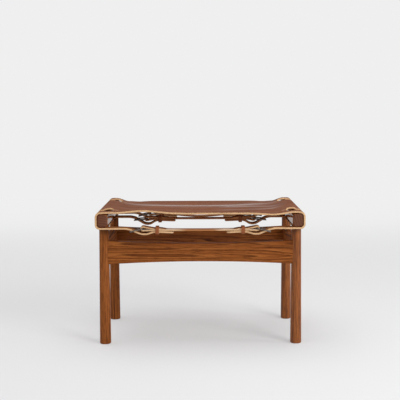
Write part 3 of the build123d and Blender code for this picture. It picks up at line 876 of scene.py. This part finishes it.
# %% Weld the patches and give the hide its thickness
def thickened(piece, thickness, rounding=0.7):
    """Solidify inwards. The second material is the flesh side and the third is the raw edge."""
    solid = piece.modifiers.new("thickness", "SOLIDIFY")
    solid.thickness = thickness * MM
    solid.offset = -1
    solid.use_even_offset = True
    solid.use_quality_normals = True
    solid.material_offset, solid.material_offset_rim = 1, 2
    bevel = piece.modifiers.new("rounded edge", "BEVEL")
    bevel.width = rounding * MM
    bevel.segments = 2
    bevel.limit_method = "ANGLE"
    bevel.angle_limit = np.radians(55)
    return solid


def joined_patches(name, patches):
    """One mesh from several patches."""
    points, faces, count = [], [], 0
    for patch_points, patch_faces in patches:
        points.append(patch_points)
        faces.append(patch_faces + count)
        count += len(patch_points)
    return put_mesh(name, np.concatenate(points), np.concatenate(faces))


def hide():
    """The whole hide as one welded sheet."""
    patches = [seat_patch()]
    for side in SIDES.values():
        patches += [outer_band(side, "front"), outer_band(side, "rear"),
                    middle_band(side), middle_tongue(side)]
    piece = joined_patches("saddle_hide", patches)
    give(piece, hide_grain, hide_flesh, hide_edge)
    thickened(piece, HIDE)
    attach(piece, "stool")
    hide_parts("seat_sling")
    return piece


saddle_hide = hide()
hide_run = 2 * (SLOT_START_X + lengths_along(hide_line("middle"))[-1])
print("hide cut", round(rail_length), "by", round(hide_run), "mm")

# %% [markdown]
# ## Joining straps
#
# Under the seat each left tongue meets its right one through a strap of thinner leather. It runs
# level between the buckles. At each end it turns loosely round the heel bar, in a fold that is
# rounder than the wire, and comes back over itself to a skived end just past the keeper. So it is
# one band: its outside is a line of straight runs and one arc, carried along the strap's width. A
# slot is left open in the fold for the buckle's tongue.

# %% Line of a joining strap
STRAP, SKIVED, WIRE, RUNNING = 4.0, 1.2, 2.0, 0.3
STRAP_SLACK, LAP_MARGIN = 0.15, 0.6
HEEL_X, LAP_X = 165.0, 97.0
HEEL_RISE = {"front": 1.8, "middle": -3.0, "rear": 1.8}
FOLD_INSIDE, SLOT_SIDE = 3.4, 3.1
strap_base = under - STACK_FALL + HIDE + RUNNING
hide_half_y = (half_length + slot_far) / 2
ROW_PLACE = {"front": -hide_half_y, "middle": 0.0, "rear": hide_half_y}
SAG = {"front": 0.0, "middle": 0.4, "rear": 6.6}


def lean_to_fold(start, centre, radius, side):
    """Direction from a start to where it touches a circle, above it for side 1, below for -1:
    the angle to the centre plus or minus arcsin(radius / distance)."""
    way = np.array(centre) - np.array(start)
    return np.arctan2(way[1], way[0]) + side * np.arcsin(radius / np.hypot(*way))


def soften(path, rounds):
    """Average each inner point with its neighbours, a few times, so that leather has no kinks."""
    path = path.copy()
    for _ in range(rounds):
        path[1:-1] = (path[:-2] + 2 * path[1:-1] + path[2:]) / 4
    return path


def strap_half_line(row_name):
    """Outside of the band's right half, from the middle out, round the fold, to the lap's end."""
    top = strap_base + 2 * STRAP
    near, far = KEEPER_X - STACK_HALF, KEEPER_X + STACK_HALF
    outside = FOLD_INSIDE + STRAP
    centre = (HEEL_X + WIRE + RUNNING - FOLD_INSIDE, under + HEEL_RISE[row_name])
    start = lean_to_fold((far, strap_base), centre, outside, -1) - np.pi / 2
    finish = lean_to_fold((far, top), centre, outside, 1) + np.pi / 2
    angles = np.linspace(start, finish, 26)
    arc = np.array(centre) + outside * np.stack([np.cos(angles), np.sin(angles)], axis=1)
    lap = [[far, top], [near, top], [LAP_X, top - STRAP + SKIVED]]
    line = np.concatenate([[[0, strap_base], [far, strap_base]], arc, lap])
    even = along(line, np.linspace(0, lengths_along(line)[-1], 170))
    lower = even[:, 1] < strap_base + STRAP
    even[:, 1] -= np.where(lower, SAG[row_name] * (1 - eased(even[:, 0] / near)), 0)
    return soften(even, 3)


strap_grain = grain_leather("strap_grain", linear(140, 90, 58), linear(108, 66, 40))
# each row's cut edges turn browner within these distances of the middle, in metres
EDGE_BROWN_BY = {"front": (0.038, 0.062), "middle": (0.098, 0.12), "rear": (0.098, 0.12)}
strap_edges = {
    row_name: raw_edge("strap_edge_" + row_name, linear(216, 176, 130), linear(172, 128, 84), by_x)
    for row_name, by_x in EDGE_BROWN_BY.items()}
strap_flesh = flesh_leather("strap_flesh", linear(216, 152, 88), 0.6, 0.1)
# the front strap's flesh side turns near white towards its ends: painted reflection of the pale wall
flesh_with_painted_sheen = flesh_leather("flesh_with_painted_sheen", linear(198, 136, 96), 0.42, ends=linear(250, 232, 214),
                           by_x=(0.03, 0.075))
strap_insides = {"front": flesh_with_painted_sheen, "middle": strap_flesh, "rear": strap_flesh}


def joining_strap(row_name):
    """Folded band of one row, from lap end to lap end, thinner at its skived ends."""
    place, rise = ROW_PLACE[row_name], ROW_RISE[row_name]
    half = strap_half_line(row_name)
    left = half[::-1] * [-1, 1]
    line = np.concatenate([left[:-1], half])
    slot = SLOT_SIDE / TONGUE_HALF
    share = np.array([1, 0.8, 0.55, 0.35, slot, -slot, -0.35, -0.55, -0.8, -1])
    y = place + TONGUE_HALF * np.tile(share, (len(line), 1))
    x, z = spread_line(line, len(share))
    keep = holed_between(abs(line[:, 0]), HEEL_X - FOLD_INSIDE - STRAP, reach)
    piece = put_mesh("strap_hide_" + row_name, *patch(x, y, z + rise, keep))
    give(piece, strap_grain, strap_insides[row_name], strap_edges[row_name])
    spots = np.empty(3 * len(piece.data.vertices), dtype=np.float32)
    piece.data.vertices.foreach_get("co", spots)
    spots = spots.reshape(-1, 3) / MM
    lapped = spots[:, 2] > strap_base + rise + STRAP + LAP_MARGIN
    from_end = (abs(spots[:, 0]) - LAP_X) / (KEEPER_X - STACK_HALF - LAP_X)
    thick = np.where(lapped, np.clip(from_end, 0, 1), 1)
    skive = piece.vertex_groups.new(name="skive")
    for step in range(11):
        skive.add(np.flatnonzero(np.round(thick * 10) == step).tolist(), step / 10, "REPLACE")
    solid = thickened(piece, STRAP - STRAP_SLACK)
    solid.vertex_group = "skive"
    solid.thickness_vertex_group = SKIVED / STRAP
    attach(piece, "stool")
    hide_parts("strap_" + row_name)
    return piece


joining_straps = {row_name: joining_strap(row_name) for row_name in ROWS}
strap_run = 2 * lengths_along(strap_half_line("front"))[-1]
print("joining strap", 2 * TONGUE_HALF, "by", round(strap_run), "mm")

# %% [markdown]
# ## Buckles, tongues and keepers
#
# A buckle is a bent wire frame. Its path is a rectangle with rounded corners, tilted because the
# outer bar hangs a little below the heel bar, and a circle carried along it makes the wire. The
# tongue is a thinner wire wrapped round the heel bar. The keeper is a thin leather loop.

# %% Nickelled wire
def nickel(name):
    """Dull nickel: slightly warm grey metal with fine wear."""
    metal = new_recipe(name)
    wear = metal.noise(metal.mapped(), 180.0, 4.0, 0.6)
    colour = metal.ramp(wear, [(0.3, (0.08, 0.065, 0.055, 1)), (0.7, (0.26, 0.22, 0.19, 1))])
    return metal.shade({
        "Base Color": colour, "Metallic": 1.0, "Roughness": metal.spread(wear, 0.22, 0.4),
        "Normal": metal.bumped(wear, 0.1, 0.0002)})


buckle_nickel = nickel("buckle_nickel")


# %% Wire frames, tongues and keepers
BAR_GAP, BUCKLE_ROOM, BUCKLE_CORNER = 0.6, 1.8, 3.5
PRONG, PRONG_START, PRONG_PAST_BAR, EYE_PITCH = 1.5, 3.2, 4.5, 1.4
KEEPER_HALF, KEEPER_CORNER, KEEPER_THICK, KEEPER_WALLS, KEEPER_ROOM = 5, 3.2, 1.9, 4.0, 1.0


def buckle_lean(row_name):
    """How far the outer bar hangs below the heel bar, as a length along the frame and an angle."""
    drop = HEEL_RISE[row_name] + BAR_FALL + BAR_GAP + WIRE
    return np.hypot(drop, BAR_X - HEEL_X), np.arctan2(drop, BAR_X - HEEL_X)


def swept_wire(name, path, radius, closed, around=14):
    """Circle carried along a path: at each point it stands square to the path's direction."""
    path = np.asarray(path, float)
    if closed:
        ahead, behind = np.roll(path, -1, axis=0), np.roll(path, 1, axis=0)
    else:
        ahead = np.concatenate([path[1:], path[-1:]])
        behind = np.concatenate([path[:1], path[:-1]])
    way = ahead - behind
    way /= np.linalg.norm(way, axis=1, keepdims=True)
    side_way = np.cross(way, [0.0, 0.0, 1.0])
    short = np.linalg.norm(side_way, axis=1) < 0.2
    side_way[short] = np.cross(way[short], [0.0, 1.0, 0.0])
    side_way /= np.linalg.norm(side_way, axis=1, keepdims=True)
    up_way = np.cross(side_way, way)
    turn = np.linspace(0, 2 * np.pi, around, endpoint=False)
    spokes = np.cos(turn)[:, None] * side_way[:, None] + np.sin(turn)[:, None] * up_way[:, None]
    rings = path[:, None] + radius * spokes
    if closed:
        rings = np.concatenate([rings, rings[:1]])
    return closed_tube(name, rings, capped=not closed)


def at_heel(points, row_name, side):
    """Points made about the heel bar, tilted, moved to their row and mirrored to their side."""
    angle = buckle_lean(row_name)[1]
    c, s = np.cos(angle), np.sin(angle)
    x = points[:, 0] * c + points[:, 2] * s
    z = -points[:, 0] * s + points[:, 2] * c
    height = under + ROW_RISE[row_name] + HEEL_RISE[row_name]
    return np.stack([side * (HEEL_X + x), ROW_PLACE[row_name] + points[:, 1], height + z], axis=1)


def buckle_frame(row_name, side_name):
    """Wire frame of a buckle: a rectangle with rounded corners."""
    side = SIDES[side_name]
    width = 2 * TONGUE_HALF + 2 * (BUCKLE_ROOM + WIRE)
    length = buckle_lean(row_name)[0]
    flat = rounded_rectangle(length, width, BUCKLE_CORNER, 7)
    path = np.stack([flat[:, 0] + length / 2, flat[:, 1], np.zeros(len(flat))], axis=1)
    name = f"buckle_wire_{row_name}_{side_name}"
    piece = swept_wire(name, at_heel(path, row_name, side), WIRE, True)
    give(piece, buckle_nickel)
    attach(piece, "stool")
    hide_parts(f"buckle_{row_name}_{side_name}")


def buckle_tongue(row_name, side_name):
    """Tongue: one turn of wire round the heel bar and a straight prong under the outer bar."""
    side = SIDES[side_name]
    ring = WIRE + RUNNING + PRONG * 0.55
    angles = np.linspace(np.radians(-62), np.radians(-270 - 60), 26)
    eye = np.stack([ring * np.cos(angles), np.linspace(0, EYE_PITCH, len(angles)),
                    ring * np.sin(angles)], axis=1)
    prong_x = np.linspace(buckle_lean(row_name)[0] + PRONG_PAST_BAR, PRONG_START, 12)
    prong = np.stack([prong_x, np.zeros(12), np.full(12, -(WIRE + RUNNING + PRONG))], axis=1)
    path = np.concatenate([prong, eye])
    name = f"tongue_wire_{row_name}_{side_name}"
    piece = swept_wire(name, at_heel(path, row_name, side), PRONG, False, 10)
    give(piece, buckle_nickel)
    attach(piece, f"tongue_body_{row_name}_{side_name}")
    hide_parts(f"tongue_{row_name}_{side_name}")


keeper_grain = grain_leather("keeper_grain", linear(196, 84, 20), linear(158, 60, 12))
keeper_edge = raw_edge("keeper_edge", linear(206, 140, 90), linear(160, 96, 56))
keeper_flesh = flesh_leather("keeper_flesh", linear(150, 86, 48))


def keeper(row_name, side_name):
    """Leather loop: a rounded rectangle in the YZ plane, as wide along X as the strip is cut."""
    side = SIDES[side_name]
    place, rise = ROW_PLACE[row_name], ROW_RISE[row_name]
    stack = HIDE + 2 * STRAP + RUNNING
    height = stack + 2 * RUNNING + KEEPER_WALLS
    width = 2 * TONGUE_HALF + KEEPER_ROOM + KEEPER_WALLS
    loop = rounded_rectangle(width, height, KEEPER_CORNER, 7)
    loop = np.concatenate([loop, loop[:1]])
    middle = under + rise - STACK_FALL + stack / 2
    xs = KEEPER_X + np.linspace(-KEEPER_HALF, KEEPER_HALF, 6)
    x = side * np.tile(xs, (len(loop), 1))
    y = place + np.repeat(loop[:, :1], len(xs), axis=1)
    z = middle + np.repeat(loop[:, 1:], len(xs), axis=1)
    if side > 0:
        x, y, z = x[::-1], y[::-1], z[::-1]
    piece = put_mesh(f"keeper_loop_{row_name}_{side_name}", *patch(x, y, z))
    give(piece, keeper_grain, keeper_flesh, keeper_edge)
    thickened(piece, KEEPER_THICK, rounding=0.4)
    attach(piece, f"keeper_body_{row_name}_{side_name}")
    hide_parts(f"keeper_{row_name}_{side_name}")


for row_name in ROWS:
    for side_name in SIDES:
        buckle_frame(row_name, side_name)
        buckle_tongue(row_name, side_name)
        keeper(row_name, side_name)
print("buckles, tongues and keepers made")
